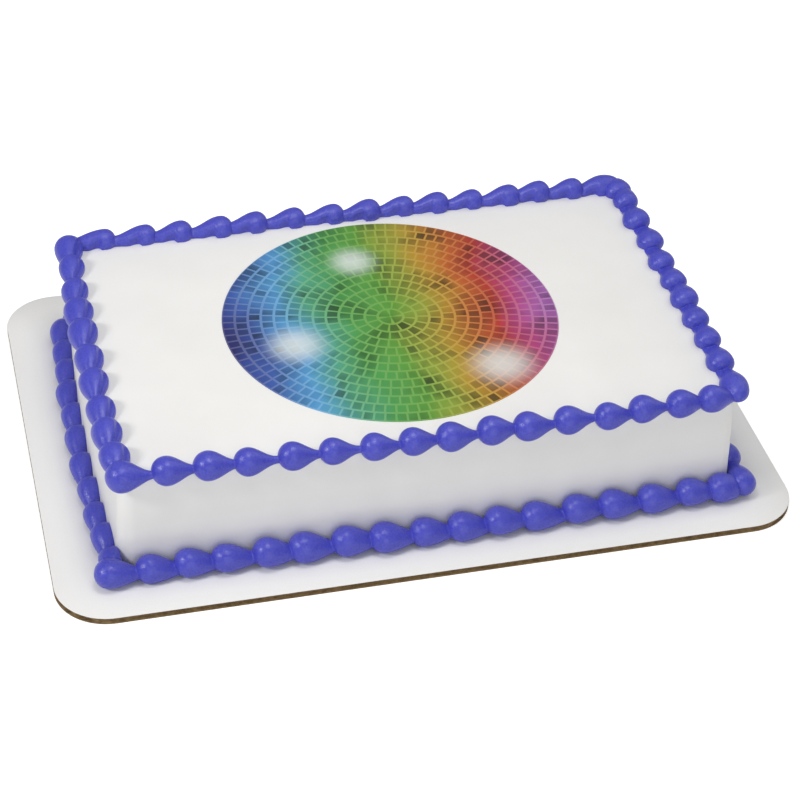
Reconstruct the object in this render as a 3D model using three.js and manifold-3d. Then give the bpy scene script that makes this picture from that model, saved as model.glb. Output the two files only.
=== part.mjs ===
// Rectangular iced celebration cake on its corrugated board, with a round printed
// sheet on top and piped bead borders along the top and bottom edges.
// Units are millimetres, +Z is up, and the origin is the centre of the board's underside.
import * as THREE from "three";
import { mergeVertices } from "three/addons/utils/BufferGeometryUtils.js";
import Module from "manifold-3d";

const wasm = await Module();
wasm.setup();

// Driving dimensions of the board
const BOARD_LENGTH = 355.6;
const BOARD_WIDTH = 254;
const BOARD_CORNER_RADIUS = 25.4;
const LINER_THICKNESS = 0.25;
const FLUTE_HEIGHT = 2.75;
const FLUTE_PITCH = 6.35;
const FLUTE_LEVEL_SHARE = 0.15;
const FLUTE_OVERHANG = 1;
const BOARD_THICKNESS = 2 * LINER_THICKNESS + FLUTE_HEIGHT;

// Driving dimensions of the cake
const CAKE_LENGTH = 292;
const CAKE_WIDTH = 187;
const CAKE_HEIGHT = 55;
const CAKE_OFFSET_X = 1.5;
const CAKE_OFFSET_Y = -2.5;
const CAKE_CORNER_RADIUS = 6;
const CAKE_TOP_EDGE_RADIUS = 1.5;

// Driving dimensions of the printed sheet
const PRINT_RADIUS = 82.5;
const PRINT_THICKNESS = 0.5;
const PRINT_OFFSET_X = 1;
const PRINT_OFFSET_Y = 1.5;

// Piped borders: every bead is a round head with a tail that thins towards the next bead
const CLEARANCE = 0.3;
const STEP_VARIATION = 0.14;
const SIZE_VARIATION = 0.05;
const BEAD_SIDES = 8;
const TOP_BORDER = {
  headOut: 0.3,
  headUp: 1.4,
  neckOut: 0.8,
  neckUp: 0.8,
  neckRadius: 2.3,
  tailReach: 0.3,
};
const BOTTOM_BORDER = {
  headOut: 7.6,
  headUp: 6.7,
  neckOut: 7.2,
  neckUp: 4.8,
  neckRadius: 3.1,
  tailReach: 2.5,
};

// One bead along its row: place along the row and radius, both in head radii
const BEAD_PROFILE = [
  { along: -0.62, radius: 0.8 },
  { along: -0.1, radius: 1 },
  { along: 0.5, radius: 0.89 },
  { along: 0.95, radius: 0.66 },
  { along: 1.4, radius: 0.46 },
];
const HEAD_START = -0.9;
const SHORTEST_STATION_STEP = 1;
const HEAD_TIP_RADIUS = 0.36;

// The four sides in the order in which the borders are piped, seen from above
// anticlockwise: the way along the side, the way out of the cake, and how far the
// side bulges outward at mid length
const SIDES = {
  front: { along: [1, 0], out: [0, -1], half: CAKE_LENGTH / 2, reach: CAKE_WIDTH / 2, bow: 2 },
  right: { along: [0, 1], out: [1, 0], half: CAKE_WIDTH / 2, reach: CAKE_LENGTH / 2, bow: 1 },
  back: { along: [-1, 0], out: [0, 1], half: CAKE_LENGTH / 2, reach: CAKE_WIDTH / 2, bow: 0.5 },
  left: { along: [0, -1], out: [-1, 0], half: CAKE_WIDTH / 2, reach: CAKE_LENGTH / 2, bow: 2.5 },
};

// Rows of beads: first and last head along the side, measured from its middle, the
// head radius, the first head's size, the last step's share of a full step, how much
// further out than the border's own line the row lies, and a seed
const EVEN_ROW = { firstSize: 1, lastStep: 1, shift: 0 };
const TOP_ROWS = {
  front: { ...EVEN_ROW, beads: 16, first: -144.9, last: 133, radius: 6.3, seed: 667551 },
  right: { ...EVEN_ROW, beads: 11, first: -87.4, last: 86.8, radius: 5.8, seed: 2297813 },
  back: { ...EVEN_ROW, beads: 15, first: -138.6, last: 126.5, radius: 5.6, seed: 2203108 },
  left: { ...EVEN_ROW, beads: 10, first: -88.6, last: 80, radius: 6.5, seed: 497636 },
};
Object.assign(TOP_ROWS.front, { firstSize: 1.14, lastStep: 0.83 });
Object.assign(TOP_ROWS.right, { firstSize: 1.1, lastStep: 0.62 });
Object.assign(TOP_ROWS.left, { firstSize: 1.1 });
const BOTTOM_ROWS = {
  front: { ...EVEN_ROW, beads: 17, first: -153.9, last: 141, radius: 6.9, seed: 3202690 },
  right: { ...EVEN_ROW, beads: 11, first: -99.8, last: 88, radius: 6.5, shift: -1.2, seed: 189839 },
  back: { ...EVEN_ROW, beads: 17, first: -150, last: 139, radius: 6.5, shift: -0.5, seed: 7 },
  left: { ...EVEN_ROW, beads: 11, first: -88, last: 91.4, radius: 6.5, shift: 0.4, seed: 2084940 },
};

// Colours
const WHITE_ICING = 0xf1f0ef;
const VIOLET_ICING = 0x4b4bb4;
const WHITE_PAPER = 0xecebea;
const KRAFT_PAPER = 0x8a6f4b;
const PRINT_GREEN = 0x4fae4a;

// Segments of the rounded parts
const BOARD_ARC_SEGMENTS = 8;
const CAKE_ARC_SEGMENTS = 5;
const EDGE_ARC_SEGMENTS = 3;
const BOW_SEGMENTS = 12;
const PRINT_SEGMENTS = 48;

function material(color, roughness) {
  return new THREE.MeshStandardMaterial({ color, roughness, metalness: 0 });
}

function namedMesh(name, geometry, look) {
  const mesh = new THREE.Mesh(geometry, look);
  mesh.name = name;
  return mesh;
}

// Even random numbers from 0 to 1, the same on every run
function randomDraws(seed) {
  const modulus = 2 ** 32;
  let state = seed;
  return () => {
    state = (state * 1664525 + 1013904223) % modulus;
    return state / modulus;
  };
}

function toSolid(geometry) {
  const bare = geometry.clone();
  bare.deleteAttribute("normal");
  bare.deleteAttribute("uv");
  const merged = mergeVertices(bare);
  const solidMesh = new wasm.Mesh({
    numProp: 3,
    vertProperties: new Float32Array(merged.attributes.position.array),
    triVerts: new Uint32Array(merged.index.array),
  });
  return new wasm.Manifold(solidMesh);
}

function toGeometry(solid) {
  const mesh = solid.getMesh();
  const geometry = new THREE.BufferGeometry();
  geometry.setAttribute("position", new THREE.BufferAttribute(new Float32Array(mesh.vertProperties), 3));
  geometry.setIndex(new THREE.BufferAttribute(new Uint32Array(mesh.triVerts), 1));
  geometry.computeVertexNormals();
  return geometry;
}

// A closed body through rings of equal point counts, with flat ends. The rings turn
// anticlockwise as seen from the end that they run towards.
function loft(rings) {
  const sides = rings[0].length;
  const triangles = [];
  for (let ring = 0; ring + 1 < rings.length; ring += 1) {
    for (let side = 0; side < sides; side += 1) {
      const a = ring * sides + side;
      const b = ring * sides + ((side + 1) % sides);
      triangles.push(a, b, b + sides, a, b + sides, a + sides);
    }
  }
  const lastRing = (rings.length - 1) * sides;
  for (const [a, b, c] of capTriangles(rings[0])) {
    triangles.push(c, b, a);
  }
  for (const [a, b, c] of capTriangles(rings[rings.length - 1])) {
    triangles.push(lastRing + a, lastRing + b, lastRing + c);
  }
  const geometry = new THREE.BufferGeometry();
  const positions = rings.flat().flatMap((point) => [point.x, point.y, point.z]);
  geometry.setAttribute("position", new THREE.Float32BufferAttribute(positions, 3));
  geometry.setIndex(triangles);
  geometry.computeVertexNormals();
  return geometry;
}

// Triangles of a flat ring, in the ring's own turning sense
function capTriangles(ring) {
  const normal = new THREE.Vector3();
  ring.forEach((point, index) => {
    const next = ring[(index + 1) % ring.length];
    normal.add(new THREE.Vector3().crossVectors(point, next));
  });
  normal.normalize();
  const across = new THREE.Vector3().subVectors(ring[1], ring[0]).normalize();
  const up = new THREE.Vector3().crossVectors(normal, across);
  const flat = ring.map((point) => new THREE.Vector2(point.dot(across), point.dot(up)));
  return THREE.ShapeUtils.triangulateShape(flat, []);
}

// The board's outline: a rectangle with quarter circles at its corners
function boardShape() {
  const x = BOARD_LENGTH / 2 - BOARD_CORNER_RADIUS;
  const y = BOARD_WIDTH / 2 - BOARD_CORNER_RADIUS;
  const shape = new THREE.Shape();
  shape.absarc(x, y, BOARD_CORNER_RADIUS, 0, Math.PI / 2);
  shape.absarc(-x, y, BOARD_CORNER_RADIUS, Math.PI / 2, Math.PI);
  shape.absarc(-x, -y, BOARD_CORNER_RADIUS, Math.PI, 1.5 * Math.PI);
  shape.absarc(x, -y, BOARD_CORNER_RADIUS, 1.5 * Math.PI, 2 * Math.PI);
  return shape;
}

function boardSlab(thickness, height) {
  const options = { depth: thickness, bevelEnabled: false, curveSegments: BOARD_ARC_SEGMENTS };
  const slab = new THREE.ExtrudeGeometry(boardShape(), options);
  slab.translate(0, 0, height);
  return slab;
}

// The wavy sheet between the liners: level crests and troughs joined by slopes,
// running along the board's length
function fluteSheet() {
  const waves = Math.ceil(BOARD_WIDTH / FLUTE_PITCH);
  const start = (-waves * FLUTE_PITCH) / 2;
  const low = LINER_THICKNESS;
  const high = FLUTE_HEIGHT;
  const level = FLUTE_LEVEL_SHARE * FLUTE_PITCH;
  const underside = [];
  for (let wave = 0; wave < waves; wave += 1) {
    const y = start + wave * FLUTE_PITCH;
    underside.push([y, low], [y + level, low]);
    underside.push([y + FLUTE_PITCH / 2, high], [y + FLUTE_PITCH / 2 + level, high]);
  }
  underside.push([start + waves * FLUTE_PITCH, low]);
  const upperSide = underside.map(([y, z]) => [y, z + LINER_THICKNESS]).reverse();
  const outline = [...underside, ...upperSide].map(([y, z]) => new THREE.Vector2(y, z));
  const sheet = new THREE.ExtrudeGeometry(new THREE.Shape(outline), {
    depth: BOARD_LENGTH + 2 * FLUTE_OVERHANG,
    bevelEnabled: false,
  });
  sheet.rotateX(Math.PI / 2);
  sheet.rotateZ(Math.PI / 2);
  sheet.translate(-BOARD_LENGTH / 2 - FLUTE_OVERHANG, 0, 0);
  return sheet;
}

function boardFlutes() {
  return toGeometry(toSolid(fluteSheet()).intersect(toSolid(boardSlab(BOARD_THICKNESS, 0))));
}

function board() {
  const group = new THREE.Group();
  const white = material(WHITE_PAPER, 0.6);
  const kraft = material(KRAFT_PAPER, 0.9);
  const topLinerHeight = BOARD_THICKNESS - LINER_THICKNESS;
  group.add(namedMesh("board_bottom_liner", boardSlab(LINER_THICKNESS, 0), kraft));
  group.add(namedMesh("board_flutes", boardFlutes(), kraft));
  group.add(namedMesh("board_top_liner", boardSlab(LINER_THICKNESS, topLinerHeight), white));
  return group;
}

// How far a side bulges at a place along it: an even curve, full at mid length and
// gone at the corners
function bulge(side, along) {
  return side.bow * Math.max(0, 1 - (along / side.half) ** 2);
}

// A point by its place along a side, its distance out of the side and its height
function sidePoint(side, along, out, up) {
  const reach = side.reach + bulge(side, along) + out;
  const x = side.along[0] * along + side.out[0] * reach;
  const y = side.along[1] * along + side.out[1] * reach;
  return new THREE.Vector3(x, y, up);
}

// The cake's outline, drawn inward by an inset: bowed sides joined by round corners
function cakeOutline(inset, height) {
  const points = [];
  for (const side of Object.values(SIDES)) {
    const straight = side.half - CAKE_CORNER_RADIUS;
    for (let step = 0; step <= BOW_SEGMENTS; step += 1) {
      const along = straight * ((2 * step) / BOW_SEGMENTS - 1);
      points.push(sidePoint(side, along, -inset, height));
    }
    const centre = sidePoint(side, straight, -CAKE_CORNER_RADIUS, height);
    const radius = CAKE_CORNER_RADIUS - inset;
    for (let step = 1; step < CAKE_ARC_SEGMENTS; step += 1) {
      const angle = (Math.PI / 2) * (step / CAKE_ARC_SEGMENTS);
      const along = Math.sin(angle) * radius;
      const out = Math.cos(angle) * radius;
      const x = centre.x + side.along[0] * along + side.out[0] * out;
      const y = centre.y + side.along[1] * along + side.out[1] * out;
      points.push(new THREE.Vector3(x, y, height));
    }
  }
  return points;
}

function icedCake() {
  const rings = [cakeOutline(0, 0)];
  for (let step = 0; step <= EDGE_ARC_SEGMENTS; step += 1) {
    const angle = (Math.PI / 2) * (step / EDGE_ARC_SEGMENTS);
    const inset = CAKE_TOP_EDGE_RADIUS * (1 - Math.cos(angle));
    const drop = CAKE_TOP_EDGE_RADIUS * (1 - Math.sin(angle));
    rings.push(cakeOutline(inset, CAKE_HEIGHT - drop));
  }
  return loft(rings);
}

function printSheet() {
  const outline = new THREE.Shape();
  outline.absarc(0, 0, PRINT_RADIUS, 0, 2 * Math.PI);
  return new THREE.ExtrudeGeometry(outline, {
    depth: PRINT_THICKNESS,
    bevelEnabled: false,
    curveSegments: PRINT_SEGMENTS,
  });
}

// Heads of one row, at steps that vary a little and fill the row from end to end
function beadHeads(row) {
  const draw = randomDraws(row.seed);
  const steps = [];
  for (let bead = 1; bead < row.beads; bead += 1) {
    steps.push(1 + STEP_VARIATION * (2 * draw() - 1));
  }
  steps[steps.length - 1] *= row.lastStep;
  const total = steps.reduce((sum, step) => sum + step, 0);
  const scale = (row.last - row.first) / total;
  let along = row.first;
  const heads = [{ along, radius: row.radius * row.firstSize }];
  for (const step of steps) {
    along += step * scale;
    heads.push({ along, radius: row.radius * (1 + SIZE_VARIATION * (2 * draw() - 1)) });
  }
  return heads;
}

// Stations of one row, each a place along it and a radius. Each head starts steeply
// out of the last bead's tail, and the last tail ends at the row's end.
function rowStations(row, neckRadius, end) {
  const heads = beadHeads(row);
  const stations = [];
  heads.forEach((head, index) => {
    const neck = index === 0 ? HEAD_TIP_RADIUS * head.radius : neckRadius;
    stations.push({ along: head.along + HEAD_START * head.radius, radius: neck, size: head.radius });
    const next = heads[index + 1];
    const tailEnd = next ? next.along + HEAD_START * next.radius : end;
    for (const point of BEAD_PROFILE) {
      const along = head.along + point.along * head.radius;
      if (along < tailEnd - SHORTEST_STATION_STEP) {
        const radius = Math.max(neckRadius, point.radius * head.radius);
        stations.push({ along, radius, size: head.radius });
      }
    }
  });
  const last = heads[heads.length - 1];
  stations.push({ along: end, radius: neckRadius, size: last.radius });
  return stations;
}

// The middle of a bead's section: a full head sits higher than a thin tail
function sectionMiddle(border, station) {
  const share = (station.radius - border.neckRadius) / (station.size - border.neckRadius);
  const fullness = Math.min(1, Math.max(0, share));
  return {
    out: border.neckOut + (border.headOut - border.neckOut) * fullness,
    up: border.neckUp + (border.headUp - border.neckUp) * fullness,
  };
}

// Section astride the cake's top edge: a circle with the cake's corner cut out of it,
// as points out of the side and above the top
function edgeSection(radius, middle, gap) {
  const reach = radius / Math.cos(Math.PI / (2 * BEAD_SIDES));
  const from = Math.PI + Math.asin((middle.up - gap) / reach);
  const to = -Math.PI / 2 - Math.asin((middle.out - gap) / reach);
  const points = [];
  for (let side = 0; side < BEAD_SIDES - 1; side += 1) {
    const angle = from + ((to - from) * side) / (BEAD_SIDES - 2);
    points.push([middle.out + reach * Math.cos(angle), middle.up + reach * Math.sin(angle)]);
  }
  points.push([gap, gap]);
  return points;
}

// Section lying on the board beside the cake: a circle pressed flat where it meets
// the board or the side
function boardSection(radius, middle, gap) {
  const reach = radius / Math.cos(Math.PI / (2 * BEAD_SIDES));
  const points = [];
  for (let side = 0; side < BEAD_SIDES; side += 1) {
    const angle = Math.PI - ((side + 0.5) / BEAD_SIDES) * 2 * Math.PI;
    const out = middle.out + reach * Math.cos(angle);
    const up = middle.up + reach * Math.sin(angle);
    points.push([Math.max(out, gap), Math.max(up, 0)]);
  }
  return points;
}

// A row of beads as one closed body. The gap is the space left to the cake, and the
// swell thickens the row where it is used to cut its neighbour.
function beadRow(place, row, end, swell) {
  const { side, border, section, height } = place;
  const rings = rowStations(row, border.neckRadius, end).map((station) => {
    const middle = sectionMiddle(border, station);
    return section(station.radius + swell, middle, CLEARANCE - row.shift).map(([out, up]) =>
      sidePoint(side, station.along, out + row.shift, height + up),
    );
  });
  return loft(rings);
}

// The four rows of one border. The first bead of each row covers the last tail of the
// row before it, which is cut back to leave a small gap.
function border(prefix, rows, shape, section, height, look) {
  const group = new THREE.Group();
  const names = Object.keys(SIDES);
  names.forEach((name, index) => {
    const nextName = names[(index + 1) % names.length];
    const place = { side: SIDES[name], border: shape, section, height };
    const nextPlace = { ...place, side: SIDES[nextName] };
    const nextRow = rows[nextName];
    const firstBead = { ...nextRow, first: nextRow.first, last: nextRow.first, beads: 1 };
    const cutter = beadRow(nextPlace, firstBead, nextRow.first + 2 * nextRow.radius, CLEARANCE);
    const end = SIDES[nextName].reach + shape.tailReach;
    const whole = toSolid(beadRow(place, rows[name], end, 0));
    group.add(namedMesh(`${prefix}_${name}`, toGeometry(whole.subtract(toSolid(cutter))), look));
  });
  return group;
}

function cake() {
  const group = new THREE.Group();
  const violet = material(VIOLET_ICING, 0.4);
  group.add(namedMesh("iced_cake", icedCake(), material(WHITE_ICING, 0.55)));
  const print = namedMesh("print_sheet", printSheet(), material(PRINT_GREEN, 0.5));
  print.position.set(PRINT_OFFSET_X, PRINT_OFFSET_Y, CAKE_HEIGHT);
  group.add(print);
  group.add(border("top_border", TOP_ROWS, TOP_BORDER, edgeSection, CAKE_HEIGHT, violet));
  group.add(border("bottom_border", BOTTOM_ROWS, BOTTOM_BORDER, boardSection, 0, violet));
  group.position.set(CAKE_OFFSET_X, CAKE_OFFSET_Y, BOARD_THICKNESS);
  return group;
}

const model = new THREE.Group();
model.add(board(), cake());

export default model;
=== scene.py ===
"""An iced rectangular celebration cake on its corrugated board.

The cake carries a round printed sheet and two borders of piped beads. Sizes in the
classes are millimetres. Meshes are written in metres around the frame's own origin,
the centre of the board's underside, with +Z up.
"""

import logging
import math
from collections.abc import Sequence
from dataclasses import dataclass, field
from enum import Enum

import bpy
import numpy as np
from mathutils import Matrix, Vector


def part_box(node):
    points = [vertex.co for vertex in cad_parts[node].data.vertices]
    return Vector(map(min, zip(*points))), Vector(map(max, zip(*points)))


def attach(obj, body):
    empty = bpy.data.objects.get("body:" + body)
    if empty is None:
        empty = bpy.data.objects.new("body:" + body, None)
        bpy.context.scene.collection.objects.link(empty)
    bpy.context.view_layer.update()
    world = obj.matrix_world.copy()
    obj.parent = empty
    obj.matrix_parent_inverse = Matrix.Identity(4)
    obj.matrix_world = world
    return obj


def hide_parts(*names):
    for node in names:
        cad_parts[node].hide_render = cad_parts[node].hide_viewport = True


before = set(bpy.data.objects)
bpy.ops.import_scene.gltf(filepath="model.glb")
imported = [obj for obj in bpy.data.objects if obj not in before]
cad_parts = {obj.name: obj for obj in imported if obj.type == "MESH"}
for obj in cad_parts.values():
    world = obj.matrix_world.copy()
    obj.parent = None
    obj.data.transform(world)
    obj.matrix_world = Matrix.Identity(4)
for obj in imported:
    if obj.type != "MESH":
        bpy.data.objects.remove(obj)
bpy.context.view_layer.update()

Array = np.ndarray
LOG = logging.getLogger("celebration_cake")
MM = 0.001
BODY = "root"
TURN = 2 * math.pi


def linear(colour: str) -> tuple[float, float, float, float]:
    """Turn an sRGB hex colour such as "#4b4bb4" into a linear one with full alpha."""
    channels = [int(colour[start:start + 2], 16) / 255 for start in (1, 3, 5)]
    red, green, blue = (c / 12.92 if c <= 0.04045 else ((c + 0.055) / 1.055) ** 2.4 for c in channels)
    return red, green, blue, 1.0


def add_node(
    tree: bpy.types.NodeTree,
    kind: str,
    inputs: dict[int | str, object] | None = None,
    stops: Sequence[tuple[float, str]] = (),
    **settings: object,
) -> bpy.types.Node:
    """Add a shader node with its settings and links.

    Args:
        tree: the tree that the node goes into.
        kind: the node's type, without its "ShaderNode" prefix.
        inputs: for each socket, by name or number, a plain value or the output that feeds it.
        stops: places and sRGB colours of a colour ramp.
        settings: the node's own properties.

    Returns:
        The new node.
    """
    node = tree.nodes.new("ShaderNode" + kind)
    for name, value in settings.items():
        setattr(node, name, value)
    for socket, value in (inputs or {}).items():
        if isinstance(value, bpy.types.NodeSocket):
            tree.links.new(value, node.inputs[socket])
        else:
            node.inputs[socket].default_value = value
    for index, (place, colour) in enumerate(stops):
        elements = node.color_ramp.elements
        element = elements[index] if index < 2 else elements.new(place)
        element.position = place
        element.color = linear(colour)
    return node


def new_material(name: str) -> tuple[bpy.types.Material, bpy.types.NodeTree, bpy.types.NodeSocket]:
    """Start a node material.

    Args:
        name: the material's name.

    Returns:
        The material, its empty node tree and the object coordinates in millimetres.
    """
    material = bpy.data.materials.new(name)
    material.use_nodes = True
    tree = material.node_tree
    tree.nodes.clear()
    place = add_node(tree, "TexCoord").outputs["Object"]
    scale = (1 / MM, 1 / MM, 1 / MM)
    millimetres = add_node(tree, "Mapping", {"Vector": place, "Scale": scale})
    return material, tree, millimetres.outputs[0]


def finish_surface(tree: bpy.types.NodeTree, shader: bpy.types.Node) -> None:
    """Link a shader node to the material's surface output."""
    add_node(tree, "OutputMaterial", {"Surface": shader.outputs[0]})


@dataclass(frozen=True)
class PipedButtercream:
    """Violet buttercream, squeezed through a round tip.

    The fat gives a soft sheen with broad highlights, light sinks in a little, and fine
    sugar leaves a slight grain. The real grain is finer than the picture's dots, so it is
    drawn coarser here.
    """

    name: str = "piped_violet_buttercream"
    colour: str = "#3c3eac"
    pale: str = "#5053c8"
    mottle_mm: float = 9.0
    grain_mm: float = 0.9
    grain_share: float = 0.8
    roughness: float = 0.33
    grain_height_mm: float = 0.16

    def material(self) -> bpy.types.Material:
        """Make the material: a faint mottle and a grain, in the colour and the bump."""
        material, tree, place = new_material(self.name)
        mottle = add_node(tree, "TexNoise", {"Vector": place, "Scale": 1 / self.mottle_mm, "Detail": 3.0})
        grain = add_node(tree, "TexNoise", {"Vector": place, "Scale": 1 / self.grain_mm, "Detail": 2.0})
        inputs = {0: self.grain_share, 2: mottle.outputs[0], 3: grain.outputs[0]}
        blend = add_node(tree, "Mix", inputs, data_type="FLOAT")
        stops = ((0.25, self.colour), (0.75, self.pale))
        colour = add_node(tree, "ValToRGB", {0: blend.outputs[0]}, stops=stops)
        inputs = {"Strength": 1.0, "Distance": self.grain_height_mm * MM, "Height": grain.outputs[0]}
        bump = add_node(tree, "Bump", inputs)
        shader = add_node(tree, "BsdfPrincipled", {
            "Base Color": colour.outputs[0],
            "Roughness": self.roughness,
            "IOR": 1.46,
            "Specular IOR Level": 0.62,
            "Subsurface Weight": 0.12,
            "Subsurface Radius": (0.4, 0.4, 1.0),
            "Subsurface Scale": 1.2 * MM,
            "Normal": bump.outputs[0],
        })
        finish_surface(tree, shader)
        return material


@dataclass(frozen=True)
class SpreadButtercream:
    """White buttercream, spread with a spatula and smoothed with paper.

    It looks like satin: a broad soft sheen, faint smoothing marks and very fine pores.
    """

    name: str = "smoothed_white_buttercream"
    colour: str = "#efeeeb"
    shade: str = "#eae9e6"
    patch_mm: float = 45.0
    pore_mm: float = 0.9
    roughness: float = 0.5
    pore_depth_mm: float = 0.03

    def material(self) -> bpy.types.Material:
        """Make the material: wide faint patches in the colour and pores in the bump."""
        material, tree, place = new_material(self.name)
        patch = add_node(tree, "TexNoise", {"Vector": place, "Scale": 1 / self.patch_mm, "Detail": 2.0})
        stops = ((0.3, self.shade), (0.7, self.colour))
        colour = add_node(tree, "ValToRGB", {0: patch.outputs[0]}, stops=stops)
        pores = add_node(tree, "TexNoise", {"Vector": place, "Scale": 1 / self.pore_mm, "Detail": 3.0})
        inputs = {"Strength": 1.0, "Distance": self.pore_depth_mm * MM, "Height": pores.outputs[0]}
        bump = add_node(tree, "Bump", inputs)
        shader = add_node(tree, "BsdfPrincipled", {
            "Base Color": colour.outputs[0],
            "Roughness": self.roughness,
            "IOR": 1.46,
            "Specular IOR Level": 0.35,
            "Subsurface Weight": 0.08,
            "Subsurface Radius": (1.0, 0.95, 0.85),
            "Subsurface Scale": 1.5 * MM,
            "Normal": bump.outputs[0],
        })
        finish_surface(tree, shader)
        return material


@dataclass(frozen=True)
class CoatedLiner:
    """White clay-coated liner board, calendered smooth.

    It is even and slightly glossy, with a trace of paper fibre.
    """

    name: str = "coated_white_liner_board"
    colour: str = "#ecebe9"
    fibre_mm: float = 0.8
    roughness: float = 0.42
    fibre_height_mm: float = 0.012

    def material(self) -> bpy.types.Material:
        """Make the material: one pale colour with a fibre bump."""
        material, tree, place = new_material(self.name)
        fibre = add_node(tree, "TexNoise", {"Vector": place, "Scale": 1 / self.fibre_mm, "Detail": 4.0})
        inputs = {"Strength": 1.0, "Distance": self.fibre_height_mm * MM, "Height": fibre.outputs[0]}
        bump = add_node(tree, "Bump", inputs)
        stops = ((0.3, self.colour), (0.8, "#f0efed"))
        colour = add_node(tree, "ValToRGB", {0: fibre.outputs[0]}, stops=stops)
        shader = add_node(tree, "BsdfPrincipled", {
            "Base Color": colour.outputs[0],
            "Roughness": self.roughness,
            "IOR": 1.5,
            "Specular IOR Level": 0.2,
            "Normal": bump.outputs[0],
        })
        finish_surface(tree, shader)
        return material


@dataclass(frozen=True)
class KraftBoard:
    """Brown kraft paper, pressed and die-cut.

    It is matt, with long fibres that run in streaks and darker flecks where the cut
    crushed it.
    """

    name: str
    colour: str
    dark: str
    streak_mm: tuple[float, float, float] = (6.0, 0.5, 0.5)
    fleck_mm: float = 2.2
    roughness: float = 0.85
    fibre_height_mm: float = 0.05

    def material(self) -> bpy.types.Material:
        """Make the material: fibre streaks and flecks in the colour and the bump."""
        material, tree, place = new_material(self.name)
        squeeze = tuple(1 / size for size in self.streak_mm)
        stretched = add_node(tree, "Mapping", {"Vector": place, "Scale": squeeze})
        streak = add_node(tree, "TexNoise", {"Vector": stretched.outputs[0], "Scale": 1.0, "Detail": 5.0})
        fleck = add_node(tree, "TexNoise", {"Vector": place, "Scale": 1 / self.fleck_mm, "Detail": 3.0})
        inputs = {0: 0.5, 2: streak.outputs[0], 3: fleck.outputs[0]}
        blend = add_node(tree, "Mix", inputs, data_type="FLOAT")
        stops = ((0.38, self.dark), (0.6, self.colour))
        colour = add_node(tree, "ValToRGB", {0: blend.outputs[0]}, stops=stops)
        inputs = {"Strength": 1.0, "Distance": self.fibre_height_mm * MM, "Height": streak.outputs[0]}
        bump = add_node(tree, "Bump", inputs)
        shader = add_node(tree, "BsdfPrincipled", {
            "Base Color": colour.outputs[0],
            "Roughness": self.roughness,
            "IOR": 1.5,
            "Specular IOR Level": 0.25,
            "Normal": bump.outputs[0],
        })
        finish_surface(tree, shader)
        return material


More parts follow.
